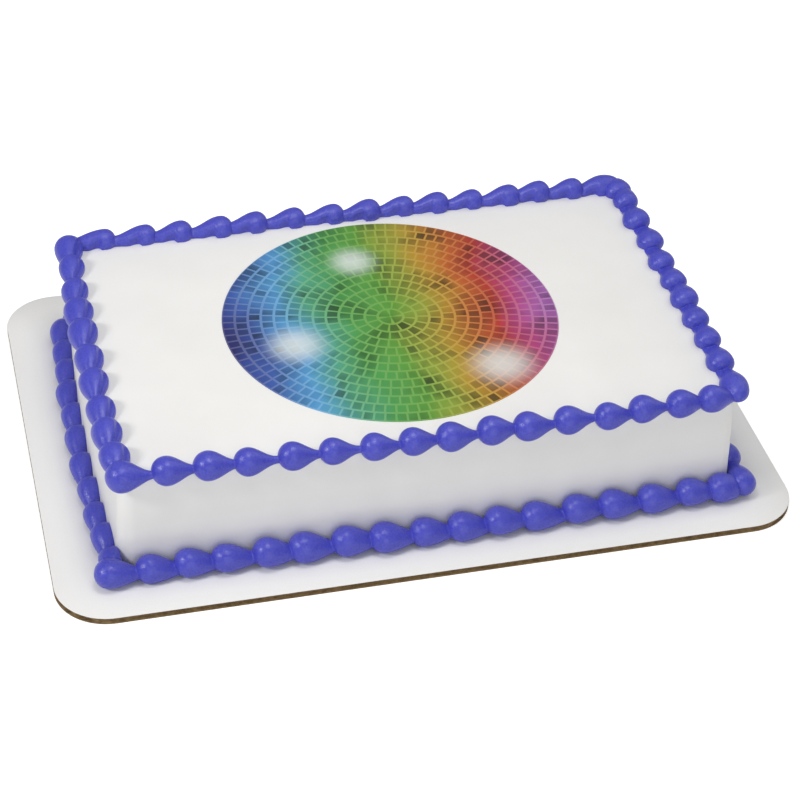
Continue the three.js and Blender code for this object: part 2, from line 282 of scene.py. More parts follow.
@dataclass(frozen=True)
class MosaicPrint:
    """Food colour, ink-jet printed on a thin frosting sheet.

    The print is a round mosaic: rings of small tiles in a rainbow that runs from left to
    right, with paler joints and a few soft glows. The sheet has a dull satin surface.
    """

    centre_mm: tuple[float, float]
    radius_mm: float
    name: str = "printed_frosting_sheet"
    ring_mm: float = 6.35
    tile_mm: float = 5.2
    joint_share: float = 0.1
    ring_shift: float = 0.382
    roughness: float = 0.42
    rainbow: tuple[tuple[float, str], ...] = (
        (0.0, "#2f3080"),
        (0.08, "#3f5fae"),
        (0.2, "#58a0d6"),
        (0.3, "#55a888"),
        (0.38, "#4f9f52"),
        (0.5, "#5f9e3c"),
        (0.58, "#93a139"),
        (0.66, "#b8902f"),
        (0.74, "#c2652a"),
        (0.82, "#b8382f"),
        (0.9, "#b8417f"),
        (1.0, "#ab66b4"),
    )
    glows_mm: tuple[tuple[float, float, float], ...] = ((-50.0, -14.0, 21.0), (-8.0, 50.0, 18.0), (44.0, -48.0, 24.0))

    def tile_places(self, tree: bpy.types.NodeTree, place: bpy.types.NodeSocket) -> bpy.types.NodeSocket:
        """Lay the tiles out in rings.

        The whole part of X counts the tiles round a ring and that of Y counts the rings, and
        the fractions run across one tile. A ring holds as many tiles as fit its middle line.

        Args:
            tree: the material's nodes.
            place: the place on the sheet from its centre, in millimetres.

        Returns:
            The tile coordinates.
        """
        axes = add_node(tree, "SeparateXYZ", {0: place})
        distance = add_node(tree, "VectorMath", {0: place}, operation="LENGTH").outputs["Value"]
        rings = add_node(tree, "Math", {0: distance, 1: self.ring_mm}, operation="DIVIDE").outputs[0]
        ring = add_node(tree, "Math", {0: rings}, operation="FLOOR").outputs[0]
        angle = add_node(tree, "Math", {0: axes.outputs[1], 1: axes.outputs[0]}, operation="ARCTAN2")
        share = add_node(tree, "Math", {0: angle.outputs[0], 1: TURN}, operation="DIVIDE").outputs[0]
        inputs = {0: ring, 1: self.ring_shift, 2: share}
        shifted = add_node(tree, "Math", inputs, operation="MULTIPLY_ADD").outputs[0]
        wrapped = add_node(tree, "Math", {0: shifted}, operation="FRACT").outputs[0]
        middle = TURN * self.ring_mm / self.tile_mm
        inputs = {0: ring, 1: middle, 2: middle / 2}
        fitting = add_node(tree, "Math", inputs, operation="MULTIPLY_ADD").outputs[0]
        count = add_node(tree, "Math", {0: fitting}, operation="ROUND").outputs[0]
        along = add_node(tree, "Math", {0: wrapped, 1: count}, operation="MULTIPLY").outputs[0]
        return add_node(tree, "CombineXYZ", {0: along, 1: rings}).outputs[0]

    def joints(self, tree: bpy.types.NodeTree, tiles: bpy.types.NodeSocket) -> bpy.types.NodeSocket:
        """Mark the joints: 1 on the lines between tiles and 0 on the tiles."""
        part = add_node(tree, "VectorMath", {0: tiles}, operation="FRACTION").outputs[0]
        inputs = {0: part, 1: (0.5, 0.5, 0.0)}
        offset = add_node(tree, "VectorMath", inputs, operation="SUBTRACT").outputs[0]
        sizes = add_node(tree, "VectorMath", {0: offset}, operation="ABSOLUTE").outputs[0]
        axes = add_node(tree, "SeparateXYZ", {0: sizes})
        inputs = {0: axes.outputs[0], 1: axes.outputs[1]}
        nearest = add_node(tree, "Math", inputs, operation="MAXIMUM").outputs[0]
        edge = 0.5 - self.joint_share
        inputs = {"Value": nearest, "From Min": edge - 0.03, "From Max": edge + 0.03}
        return add_node(tree, "MapRange", inputs, interpolation_type="SMOOTHSTEP").outputs[0]

    def glow(self, tree: bpy.types.NodeTree, place: bpy.types.NodeSocket) -> bpy.types.NodeSocket:
        """Add up the soft round glows, each fading from its centre to nothing at its radius."""
        total = None
        for x, y, reach in self.glows_mm:
            inputs = {0: place, 1: (x, y, 0.0)}
            distance = add_node(tree, "VectorMath", inputs, operation="DISTANCE").outputs["Value"]
            inputs = {"Value": distance, "From Max": reach, "To Min": 0.75, "To Max": 0.0}
            spot = add_node(tree, "MapRange", inputs, interpolation_type="SMOOTHERSTEP").outputs[0]
            if total is not None:
                spot = add_node(tree, "Math", {0: total, 1: spot}, operation="MAXIMUM").outputs[0]
            total = spot
        return total

    def material(self) -> bpy.types.Material:
        """Make the material: the rainbow, toned tile by tile, its joints and its glows."""
        material, tree, millimetres = new_material(self.name)
        x, y = self.centre_mm
        inputs = {"Vector": millimetres, "Location": (-x, -y, 0.0), "Scale": (1.0, 1.0, 0.0)}
        place = add_node(tree, "Mapping", inputs).outputs[0]
        tiles = self.tile_places(tree, place)
        axes = add_node(tree, "SeparateXYZ", {0: place})
        inputs = {"Value": axes.outputs[0], "From Min": -self.radius_mm, "From Max": self.radius_mm}
        across = add_node(tree, "MapRange", inputs).outputs[0]
        drift = add_node(tree, "TexNoise", {"Vector": place, "Scale": 0.022, "Detail": 1.0}).outputs[0]
        inputs = {0: drift, 1: 0.16, 2: -0.08}
        wander = add_node(tree, "Math", inputs, operation="MULTIPLY_ADD").outputs[0]
        hue = add_node(tree, "Math", {0: across, 1: wander}, operation="ADD").outputs[0]
        rainbow = add_node(tree, "ValToRGB", {0: hue}, stops=self.rainbow).outputs[0]
        cell = add_node(tree, "VectorMath", {0: tiles}, operation="FLOOR").outputs[0]
        chance = add_node(tree, "TexWhiteNoise", {"Vector": cell}).outputs[0]
        swing = add_node(tree, "TexNoise", {"Vector": place, "Scale": 0.035, "Detail": 2.0}).outputs[0]
        inputs = {"Value": swing, "From Min": 0.4, "From Max": 0.62, "To Min": 0.16, "To Max": 0.75}
        contrast = add_node(tree, "MapRange", inputs).outputs[0]
        inputs = {"Value": chance, "To Min": 0.35, "To Max": 1.1}
        depth = add_node(tree, "MapRange", inputs).outputs[0]
        darkness = add_node(tree, "Math", {0: depth, 1: contrast}, operation="MULTIPLY").outputs[0]
        tile = add_node(tree, "Mix", {0: darkness, 6: rainbow, 7: linear("#1d2212")}, data_type="RGBA")
        pale = add_node(tree, "Mix", {0: 0.08, 6: rainbow, 7: linear("#f4f2a0")}, data_type="RGBA")
        line = self.joints(tree, tiles)
        inputs = {0: line, 6: tile.outputs[2], 7: pale.outputs[2]}
        mosaic = add_node(tree, "Mix", inputs, data_type="RGBA").outputs[2]
        inputs = {0: self.glow(tree, place), 6: mosaic, 7: linear("#dfe6e2")}
        printed = add_node(tree, "Mix", inputs, data_type="RGBA").outputs[2]
        tooth = add_node(tree, "TexNoise", {"Vector": millimetres, "Scale": 1.6, "Detail": 2.0}).outputs[0]
        bump = add_node(tree, "Bump", {"Strength": 1.0, "Distance": 0.02 * MM, "Height": tooth})
        shader = add_node(tree, "BsdfPrincipled", {
            "Base Color": printed,
            "Roughness": self.roughness,
            "IOR": 1.45,
            "Specular IOR Level": 0.35,
            "Normal": bump.outputs[0],
        })
        finish_surface(tree, shader)
        return material


@dataclass
class Shell:
    """A closed skin: rings of points, one after the other, closed by a tip at each end.

    The rings turn clockwise, seen from the end that they run towards, so that faces look
    outwards; a flipped shell has them turn the other way.
    """

    rings: Array
    start: Array
    end: Array
    flipped: bool = False

    def points(self) -> Array:
        """List the rings' points in order, then the first tip and the last."""
        return np.concatenate([self.rings.reshape(-1, 3), [self.start], [self.end]])

    def faces(self) -> list[Array]:
        """List the four-sided faces between rings, then the triangles round both tips."""
        count, columns = self.rings.shape[:2]
        column = np.arange(columns)
        following = (column + 1) % columns
        row = np.arange(count - 1)[:, None] * columns
        sides = np.stack([row + column, row + columns + column, row + columns + following, row + following], -1)
        first = count * columns
        opening = np.stack([np.full(columns, first), column, following], -1)
        last = (count - 1) * columns
        closing = np.stack([np.full(columns, first + 1), last + following, last + column], -1)
        groups = [sides.reshape(-1, 4), opening, closing]
        return [group[:, ::-1] for group in groups] if self.flipped else groups


@dataclass
class Slab:
    """A closed sheet: an upper and a lower grid of points, joined round their rim.

    The first index of both grids runs along +X and the second along +Y.
    """

    upper: Array
    lower: Array

    def points(self) -> Array:
        """List the upper grid's points, then the lower one's."""
        return np.concatenate([self.upper.reshape(-1, 3), self.lower.reshape(-1, 3)])

    def faces(self) -> list[Array]:
        """List the faces of the upper grid, the lower grid and the rim."""
        rows, columns = self.upper.shape[:2]
        index = np.arange(rows * columns).reshape(rows, columns)
        near, far = index[:-1, :-1], index[1:, 1:]
        upper = np.stack([near, index[1:, :-1], far, index[:-1, 1:]], -1).reshape(-1, 4)
        lower = upper[:, ::-1] + rows * columns
        loop = np.concatenate([index[:-1, 0], index[-1, :-1], index[:0:-1, -1], index[0, :0:-1]])
        following = np.roll(loop, -1)
        under = rows * columns
        rim = np.stack([loop + under, following + under, following, loop], -1)
        return [upper, lower, rim]


def add_piece(
    name: str,
    skin: Shell | Slab,
    finishes: Sequence[bpy.types.Material],
    face_finish: Array | None = None,
    sharp_degrees: float = 180.0,
) -> bpy.types.Object:
    """Write a closed skin into a mesh object that stands for the CAD node of like name.

    Args:
        name: the CAD node that the piece replaces; the piece is named "fine_" and that.
        skin: its points and faces, in millimetres.
        finishes: the materials of the piece.
        face_finish: for each face the number of its material, where there is more than one.
        sharp_degrees: an edge that turns by more than this stays sharp.

    Returns:
        The new object, riding on the cake's one body.
    """
    mesh = bpy.data.meshes.new("fine_" + name)
    faces = [face for group in skin.faces() for face in group.tolist()]
    mesh.from_pydata((skin.points() * MM).tolist(), [], faces)
    mesh.polygons.foreach_set("use_smooth", np.ones(len(faces), bool))
    for finish in finishes:
        mesh.materials.append(finish)
    if face_finish is not None:
        mesh.polygons.foreach_set("material_index", face_finish.astype(np.int32))
    if sharp_degrees < 180.0:
        mesh.set_sharp_from_angle(angle=math.radians(sharp_degrees))
    mesh.update()
    piece = bpy.data.objects.new("fine_" + name, mesh)
    bpy.context.scene.collection.objects.link(piece)
    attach(piece, BODY)
    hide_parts(name)
    LOG.info("%s: %d points, %d faces", piece.name, len(mesh.vertices), len(mesh.polygons))
    return piece


def hill(value: Array, middle: float | Array, width: float) -> Array:
    """Give a smooth hill, 1 at its middle and e to the -1 one width away."""
    return np.exp(-(((value - middle) / width) ** 2))


def rise(value: Array, low: float, high: float) -> Array:
    """Give a smooth step from 0 at low to 1 at high."""
    share = np.clip((value - low) / (high - low), 0, 1)
    return share * share * (3 - 2 * share)


def swell(across: Array, up: Array, wave_mm: tuple[float, float], seed: int, waves: int = 14) -> Array:
    """Add up plane sine waves of random direction, length and phase.

    Args:
        across: the first coordinate, in millimetres.
        up: the second coordinate, in millimetres.
        wave_mm: the shortest and the longest wave.
        seed: the seed of the random draws.
        waves: how many waves are added.

    Returns:
        The sum, scaled so that it stays near the range from -1 to 1.
    """
    draws = np.random.default_rng(seed)
    total = np.zeros(np.broadcast(across, up).shape)
    for _ in range(waves):
        heading, phase = draws.uniform(0, TURN, 2)
        length = draws.uniform(*wave_mm)
        total += np.sin(TURN * (across * math.cos(heading) + up * math.sin(heading)) / length + phase)
    return total / math.sqrt(waves) / 1.5


class Side(Enum):
    """The cake's sides in piping order: the way along each and the way out of the cake."""

    FRONT = ((1, 0), (0, -1))
    RIGHT = ((0, 1), (1, 0))
    BACK = ((-1, 0), (0, 1))
    LEFT = ((0, -1), (-1, 0))

    @property
    def along(self) -> Array:
        """The way along the side, in the order of piping."""
        return np.array(self.value[0], float)

    @property
    def out(self) -> Array:
        """The way out of the cake."""
        return np.array(self.value[1], float)

    @property
    def following(self) -> "Side":
        """The side that is piped next."""
        sides = list(Side)
        return sides[(sides.index(self) + 1) % len(sides)]


@dataclass
class CakeShape:
    """The cake's plan, read from the frame: a rectangle with bowed sides and a wider foot.

    A side bows out by a share that is full at mid length and falls to nothing at the
    corners as one minus the square of the place along it. The cake has sunk a little, so
    each wall stands further out towards its foot.

    Attributes:
        bows: how far each side bows out at mid length.
        slumps: how far each wall's foot stands out, at the corners and at mid length.
    """

    bows: dict[Side, float] = field(
        default_factory=lambda: {Side.FRONT: 2.0, Side.RIGHT: 1.0, Side.BACK: 0.5, Side.LEFT: 2.5}
    )
    slumps: dict[Side, tuple[float, float]] = field(
        default_factory=lambda: {
            Side.FRONT: (1.5, 1.5),
            Side.RIGHT: (2.2, 2.2),
            Side.BACK: (1.5, 1.5),
            Side.LEFT: (2.2, 4.2),
        }
    )

    def __post_init__(self) -> None:
        """Take the centre, the half lengths and the heights from the cake's box."""
        low, high = (np.array(corner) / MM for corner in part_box("iced_cake"))
        west, east = low[0] + self.bows[Side.LEFT], high[0] - self.bows[Side.RIGHT]
        south, north = low[1] + self.bows[Side.FRONT], high[1] - self.bows[Side.BACK]
        self.centre = np.array([(west + east) / 2, (south + north) / 2])
        self.half = np.array([(east - west) / 2, (north - south) / 2])
        self.foot = float(low[2])
        self.top = float(high[2])

    def half_length(self, side: Side) -> float:
        """Half the length of a side."""
        return float(abs(side.along @ self.half))

    def reach(self, side: Side) -> float:
        """The distance from the centre to a side, without its bow."""
        return float(abs(side.out @ self.half))

    def bulge(self, side: Side, level: Array, height: Array) -> Array:
        """How far a wall stands out of the plain rectangle.

        Args:
            side: the wall's side.
            level: one minus the square of the place along the side, as a share of its half.
            height: the height above the floor.

        Returns:
            The bow, and the slump that grows evenly from the top to the foot.
        """
        corner, middle = self.slumps[side]
        depth = np.clip((self.top - height) / (self.top - self.foot), 0, 1)
        return self.bows[side] * level + depth * (corner + (middle - corner) * level)

    def points(self, side: Side, along: Array, out: Array, height: Array) -> Array:
        """Place points by their distance along a side, out of its wall and above the floor."""
        level = np.maximum(0, 1 - (along / self.half_length(side)) ** 2)
        reach = self.reach(side) + self.bulge(side, level, height) + out
        plan = along[..., None] * side.along + reach[..., None] * side.out + self.centre
        return np.concatenate([plan, height[..., None]], -1)

    def bowed(self, plan: Array, height: Array) -> Array:
        """Move points of the plain rectangle outwards, fading fast inside each side."""
        share = plan / self.half
        fade = np.abs(share) ** 5
        level = np.maximum(0, 1 - share**2)
        moved = np.broadcast_to(plan, (*np.broadcast(plan[..., 0], height).shape, 2)).copy()
        for side in Side:
            axis = int(np.argmax(np.abs(side.out)))
            here = fade[..., axis] * (plan[..., axis] * side.out[axis] > 0)
            moved[..., axis] += side.out[axis] * here * self.bulge(side, level[..., 1 - axis], height)
        return moved


@dataclass
class IcedBlock:
    """The cake: an uncut block with spread icing, softly rounded corners and a crisp top edge."""

    shape: CakeShape
    corners: tuple[float, float, float, float] = (7.0, 4.5, 6.0, 6.0)
    edge_radius: float = 1.6
    side_points: int = 90
    corner_points: int = 12
    wall_rings: int = 36
    edge_rings: int = 6
    top_rings: int = 44
    wall_relief: float = 0.22
    top_relief: float = 0.2

    def outline(self) -> tuple[Array, Array]:
        """Walk round the plain rectangle with its round corners, anticlockwise.

        Corners come in the order front left, front right, back right, back left. Each is
        a quarter circle about a centre that lies its radius inside both sides.

        Returns:
            The points from the cake's centre, and the unit ways outward.
        """
        points, outs = [], []
        signs = ((-1, -1), (1, -1), (1, 1), (-1, 1))
        for index, (sign, radius) in enumerate(zip(signs, self.corners)):
            middle = (self.shape.half - radius) * sign
            angles = math.pi + index * math.pi / 2 + np.linspace(0, math.pi / 2, self.corner_points)
            outs.append(np.stack([np.cos(angles), np.sin(angles)], -1))
            points.append(middle + radius * outs[-1])
            turn = (index + 1) % 4
            goal = (self.shape.half - self.corners[turn]) * signs[turn] + self.corners[turn] * outs[-1][-1]
            share = np.linspace(0, 1, self.side_points + 2)[1:-1, None]
            points.append(points[-1][-1] * (1 - share) + goal * share)
            outs.append(np.broadcast_to(outs[-1][-1], points[-1].shape))
        return np.concatenate(points), np.concatenate(outs)

    def skin(self) -> Shell:
        """Carry the outline up the wall, round the top edge and in over the top.

        On the edge the inset is the radius times one minus the cosine of an angle that
        grows to a right angle, and the height follows its sine. Over the top the outline
        shrinks towards the cake's centre.
        """
        plan, outs = self.outline()
        shape, edge = self.shape, self.edge_radius
        walk = np.concatenate([[0], np.cumsum(np.linalg.norm(np.diff(plan, axis=0), axis=1))])
        heights = np.linspace(shape.foot, shape.top - edge, self.wall_rings)[:, None]
        waves = swell(walk, heights, (35.0, 110.0), seed=11) + 0.35 * swell(walk * 0.12, heights, (5.0, 14.0), seed=12)
        relief = self.wall_relief * waves * np.ones((self.wall_rings, 1))
        wall = shape.bowed(plan, heights) + relief[..., None] * outs
        rings = [np.concatenate([wall, np.broadcast_to(heights, relief.shape)[..., None]], -1)]
        for angle in np.linspace(0, math.pi / 2, self.edge_rings + 1)[1:]:
            inset = edge * (1 - math.cos(angle))
            height = np.full(len(plan), shape.top - edge * (1 - math.sin(angle)))
            points = shape.bowed(plan - inset * outs, height) + relief[-1][:, None] * math.cos(angle) * outs
            rings.append(self.ring(points, height))
        inner = plan - edge * outs
        for share in np.linspace(1, 0, self.top_rings + 1)[1:-1]:
            points = shape.bowed(inner * share, np.full(len(plan), shape.top))
            rings.append(self.ring(points, shape.top - self.top_depth(points)))
        rings = np.concatenate(rings)
        rings[..., :2] += shape.centre
        foot = np.append(shape.centre, shape.foot)
        crown = np.append(shape.centre, shape.top)
        return Shell(rings, foot, crown, flipped=True)

    @staticmethod
    def ring(points: Array, heights: Array) -> Array:
        """Join plan points and heights into one ring."""
        return np.concatenate([points, heights[:, None]], -1)[None]

    def top_depth(self, plan: Array) -> Array:
        """Depth of the top's shallow hollows, none near the edge and under the print."""
        waves = 0.5 + 0.5 * np.clip(swell(plan[:, 0], plan[:, 1], (30.0, 90.0), seed=13), -1, 1)
        rim = 1 - np.max(np.abs(plan) / self.shape.half, axis=1)
        clear = rise(np.linalg.norm(plan, axis=1), 84.0, 96.0)
        return self.top_relief * waves * clear * rise(rim, 0.0, 0.06)

    def build(self, finish: bpy.types.Material) -> bpy.types.Object:
        """Make the piece with its one finish."""
        return add_piece("iced_cake", self.skin(), [finish])


@dataclass
class PrintedSheet:
    """The round printed sheet: a thin disc that lies on the icing, its rim softened."""

    thickness: float = 0.34
    sunk: float = 0.15
    rim: float = 0.3
    columns: int = 240
    flat_rings: int = 24

    def __post_init__(self) -> None:
        """Take the centre, the radius and the underside from the frame."""
        low, high = (np.array(corner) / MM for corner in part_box("print_sheet"))
        self.centre = (low[:2] + high[:2]) / 2
        self.radius = float(high[0] - low[0]) / 2
        self.underside = float(low[2])

    def skin(self) -> Shell:
        """Turn a profile about the sheet's axis: out under it, round its rim and back in."""
        base = self.underside - self.sunk
        top = self.underside + self.thickness
        angles = np.linspace(0, math.pi / 2, 5)
        flat = np.linspace(1, 0, self.flat_rings + 1)[1:-1]
        reach = self.radius - self.rim
        radii = np.concatenate([[self.radius], reach + self.rim * np.cos(angles), reach * flat])
        rise_up = top - self.rim + self.rim * np.sin(angles)
        heights = np.concatenate([[base], rise_up, np.full(len(flat), top)])
        turn = np.linspace(0, TURN, self.columns, endpoint=False)
        plan = self.centre + radii[:, None, None] * np.stack([np.cos(turn), np.sin(turn)], -1)
        rings = np.concatenate([plan, np.broadcast_to(heights[:, None, None], (*plan.shape[:2], 1))], -1)
        return Shell(rings, np.append(self.centre, base), np.append(self.centre, top), flipped=True)

    def build(self) -> bpy.types.Object:
        """Make the piece with its print."""
        finish = MosaicPrint(tuple(float(value) for value in self.centre), self.radius)
        return add_piece("print_sheet", self.skin(), [finish.material()], sharp_degrees=60)


@dataclass
class CorrugatedBoard:
    """The cake board: two flat liners with a wavy sheet between them, die-cut together."""

    corner_radius: float = 25.4
    pitch: float = 6.35
    corner_points: int = 24
    liner_rings: int = 6
    wave_points: int = 18
    sheet_rows: int = 24
    edge_softness: float = 0.06

    def __post_init__(self) -> None:
        """Take the board's half lengths and its layers' heights from the frame."""
        low, high = (np.array(corner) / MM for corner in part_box("board_top_liner"))
        under = np.array(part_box("board_bottom_liner")[1]) / MM
        self.half = (high - low)[:2] / 2
        self.top_layer = (float(low[2]), float(high[2]))
        self.bottom_layer = (0.0, float(under[2]))

    def outline(self, inset: float) -> Array:
        """Walk round the board anticlockwise, each corner a quarter circle."""
        points = []
        for index, sign in enumerate(((1, 1), (-1, 1), (-1, -1), (1, -1))):
            angles = index * math.pi / 2 + np.linspace(0, math.pi / 2, self.corner_points)
            middle = (self.half - self.corner_radius) * sign
            ways = np.stack([np.cos(angles), np.sin(angles)], -1)
            points.append(middle + (self.corner_radius - inset) * ways)
        return np.concatenate(points)

    def liner(self, layer: tuple[float, float]) -> Shell:
        """Make a flat liner: its outline up the cut edge, softened, and in over the top."""
        low, high = layer
        soft = self.edge_softness
        steps = [(soft, low), (0.0, low + soft), (0.0, high - soft), (soft, high)]
        rings = [np.insert(self.outline(inset), 2, height, axis=1) for inset, height in steps]
        inner = self.outline(soft)
        for share in np.linspace(1, 0, self.liner_rings + 1)[1:-1]:
            rings.append(np.insert(inner * share, 2, high, axis=1))
        return Shell(np.stack(rings), np.array([0, 0, low]), np.array([0, 0, high]), flipped=True)

    def wavy_sheet(self) -> Slab:
        """Make the fluted sheet that runs along the board's length.

        Its middle height is a cosine wave across the board, it is as thick as a liner
        square to its slope, and its ends follow the board's outline.
        """
        waves = round(2 * self.half[1] / self.pitch)
        y = np.linspace(-self.half[1], self.half[1], waves * self.wave_points + 1)
        thickness = self.bottom_layer[1]
        low, high = self.bottom_layer[1] + thickness / 2, self.top_layer[0] - thickness / 2
        phase = TURN * (y + self.half[1]) / self.pitch
        middle = (low + high) / 2 - (high - low) / 2 * np.cos(phase)
        slope = TURN / self.pitch * (high - low) / 2 * np.sin(phase)
        lift = thickness / 2 * np.sqrt(1 + slope**2)
        inside = np.clip(np.abs(y) - (self.half[1] - self.corner_radius), 0, self.corner_radius)
        corner = np.sqrt(np.maximum(0, self.corner_radius**2 - inside**2))
        reach = self.half[0] - self.corner_radius + corner
        x = np.linspace(-1, 1, self.sheet_rows)[:, None] * reach
        grid = [np.stack([x, np.broadcast_to(y, x.shape), np.broadcast_to(z, x.shape)], -1)
                for z in (middle + lift, middle - lift)]
        return Slab(*grid)

    def build(self, white: bpy.types.Material, edge: bpy.types.Material, kraft: bpy.types.Material,
              medium: bpy.types.Material) -> None:
        """Make the three layers.

        Args:
            white: the top face's coating.
            edge: the cut edge of the top liner.
            kraft: the bottom liner.
            medium: the wavy sheet.
        """
        top = self.liner(self.top_layer)
        quads = top.faces()[0]
        columns = top.rings.shape[1]
        face_count = sum(len(group) for group in top.faces())
        on_edge = np.zeros(face_count, bool)
        on_edge[:columns * 3] = True
        on_edge[len(quads):len(quads) + columns] = True
        add_piece("board_top_liner", top, [white, edge], on_edge, sharp_degrees=50)
        add_piece("board_flutes", self.wavy_sheet(), [medium], sharp_degrees=50)
        add_piece("board_bottom_liner", self.liner(self.bottom_layer), [kraft], sharp_degrees=50)


@dataclass(frozen=True)
class Fold:
    """How the icing of a bead folded as it was squeezed out: here it stayed smooth.

    Places run along a bead from its head's middle, in head radii, towards its tail. Angles
    run round it in degrees, 0 out of the cake, 90 upwards and 180 into the cake.
    """

    def relief(self, place: Array, degrees: Array) -> Array:
        """Give the change of the radius, as a share of it."""
        return np.zeros(np.broadcast(place, degrees).shape)

    def spread(self, place: Array, inward: Array, height: Array) -> Array:
        """Give how far the icing spreads into the cake's middle.

        Args:
            place: the place along the bead.
            inward: the distance from the section's middle into the cake, as a share of the
                section's radius.
            height: the height above the footing, in millimetres.

        Returns:
            The distance in millimetres.
        """
        return np.zeros(np.broadcast(place, inward, height).shape)


@dataclass(frozen=True)
class Groove(Fold):
    """A ridge, a flat flank and two narrow grooves that run along the inner side.

    From the ridge to the first groove the radius falls by the flank, below the straight
    line by the sag at mid way. Beyond that groove the icing is round again, but for the
    second groove.
    """

    flank: float = 0.19
    sag: float = 0.03
    cuts: tuple[float, float] = (0.08, 0.06)

    def relief(self, place: Array, degrees: Array) -> Array:
        """Cut the flank and the grooves, and fade them out towards both ends of the bead."""
        ridge, groove = 121 - 10 * place, 147 - place
        share = np.clip((degrees - ridge) / (groove - ridge), 0, 1)
        loss = (self.flank * share + 4 * self.sag * share * (1 - share)) * (1 - rise(degrees, groove, groove + 8))
        cuts = self.cuts[0] * hill(degrees, groove, 3.5) + self.cuts[1] * hill(degrees, groove + 14, 3.5)
        return -(loss + cuts) * rise(place, -0.5, 0.1) * (1 - rise(place, 1.7, 2.2))


@dataclass(frozen=True)
class Foot(Fold):
    """A tail that is drawn out thinner than its head, so that a notch sets off the head's foot."""

    cut: float = 0.4

    def relief(self, place: Array, degrees: Array) -> Array:
        """Take the tail's inner side back behind the notch and let it swell again."""
        behind = rise(place, 0.45, 0.62) * (1 - rise(place, 0.8, 1.6))
        return -self.cut * behind * hill(degrees, 185, 42)


@dataclass(frozen=True)
class Curl(Fold):
    """A head that presses the end of the last tail out into a low web on its inner side."""

    web_mm: float = 3.4

    def spread(self, place: Array, inward: Array, height: Array) -> Array:
        """Push the web out, low on the icing, towards the tail's end."""
        return self.web_mm * rise(place, 0.9, 2.0) * rise(inward, 0.0, 0.9) * (1 - rise(height, 0.2, 2.8))


@dataclass(frozen=True)
class Tail:
    """How the icing thins behind a bead's head.

    Attributes:
        radius: radius of the thin end.
        reach: distance from the head's middle to the thin end, in head radii.
        power: 1 gives a full cone, 2 a hollow curve.
        shift: how far the thin end lies out and up from the head's middle.
    """

    radius: float
    reach: float
    power: float
    shift: tuple[float, float] = (0.0, 0.0)

    def fullness(self, place: Array) -> Array:
        """Give 1 at the head's middle and 0 at the thin end: a cosine, to the power."""
        return np.cos(math.pi / 2 * np.clip(place / self.reach, 0, 1)) ** self.power


@dataclass(frozen=True)
class RowPlan:
    """One row of beads: its places along the side and its sizes, in millimetres.

    Attributes:
        beads: how many beads the row has.
        first: the first head's place from the side's middle.
        last: the last head's place.
        radius: the head radius.
        seed: the seed of the row's uneven steps and sizes.
        head: the middle of a head's section, out of the wall and above the footing.
        tail: how the tails thin.
        first_size: the first head's size, as a share of the others'.
        last_step: the last step, as a share of the others.
        nose: length of the first head's front in head radii.
        nose_shift: how far the first head's front tip moves out and up.
        blunt: length of the other heads' fronts in head radii.
        flat: height of a section as a share of its width.
        fold: how the icing folded.
    """

    beads: int
    first: float
    last: float
    radius: float
    seed: int
    head: tuple[float, float]
    tail: Tail
    first_size: float = 1.0
    last_step: float = 1.0
    nose: float = 1.0
    nose_shift: tuple[float, float] = (0.0, 0.0)
    blunt: float = 1.0
    flat: float = 1.0
    fold: Fold = Fold()

    def draws(self, count: int) -> Array:
        """Draw even numbers from 0 to 1: each state is the last times 1664525 plus 1013904223."""
        states, state, modulus = [], self.seed, 2**32
        for _ in range(count):
            state = (state * 1664525 + 1013904223) % modulus
            states.append(state / modulus)
        return np.array(states)

    def heads(self, step_variation: float = 0.14, size_variation: float = 0.05) -> tuple[Array, Array]:
        """Space the heads by uneven steps that fill the row from end to end.

        Returns:
            The heads' places and their radii.
        """
        gaps = self.beads - 1
        swings = 2 * self.draws(2 * gaps) - 1
        steps = 1 + step_variation * swings[:gaps]
        steps[-1] *= self.last_step
        places = self.first + np.concatenate([[0], np.cumsum(steps)]) * (self.last - self.first) / steps.sum()
        sizes = np.concatenate([[self.first_size], 1 + size_variation * swings[gaps:]])
        return places, self.radius * sizes


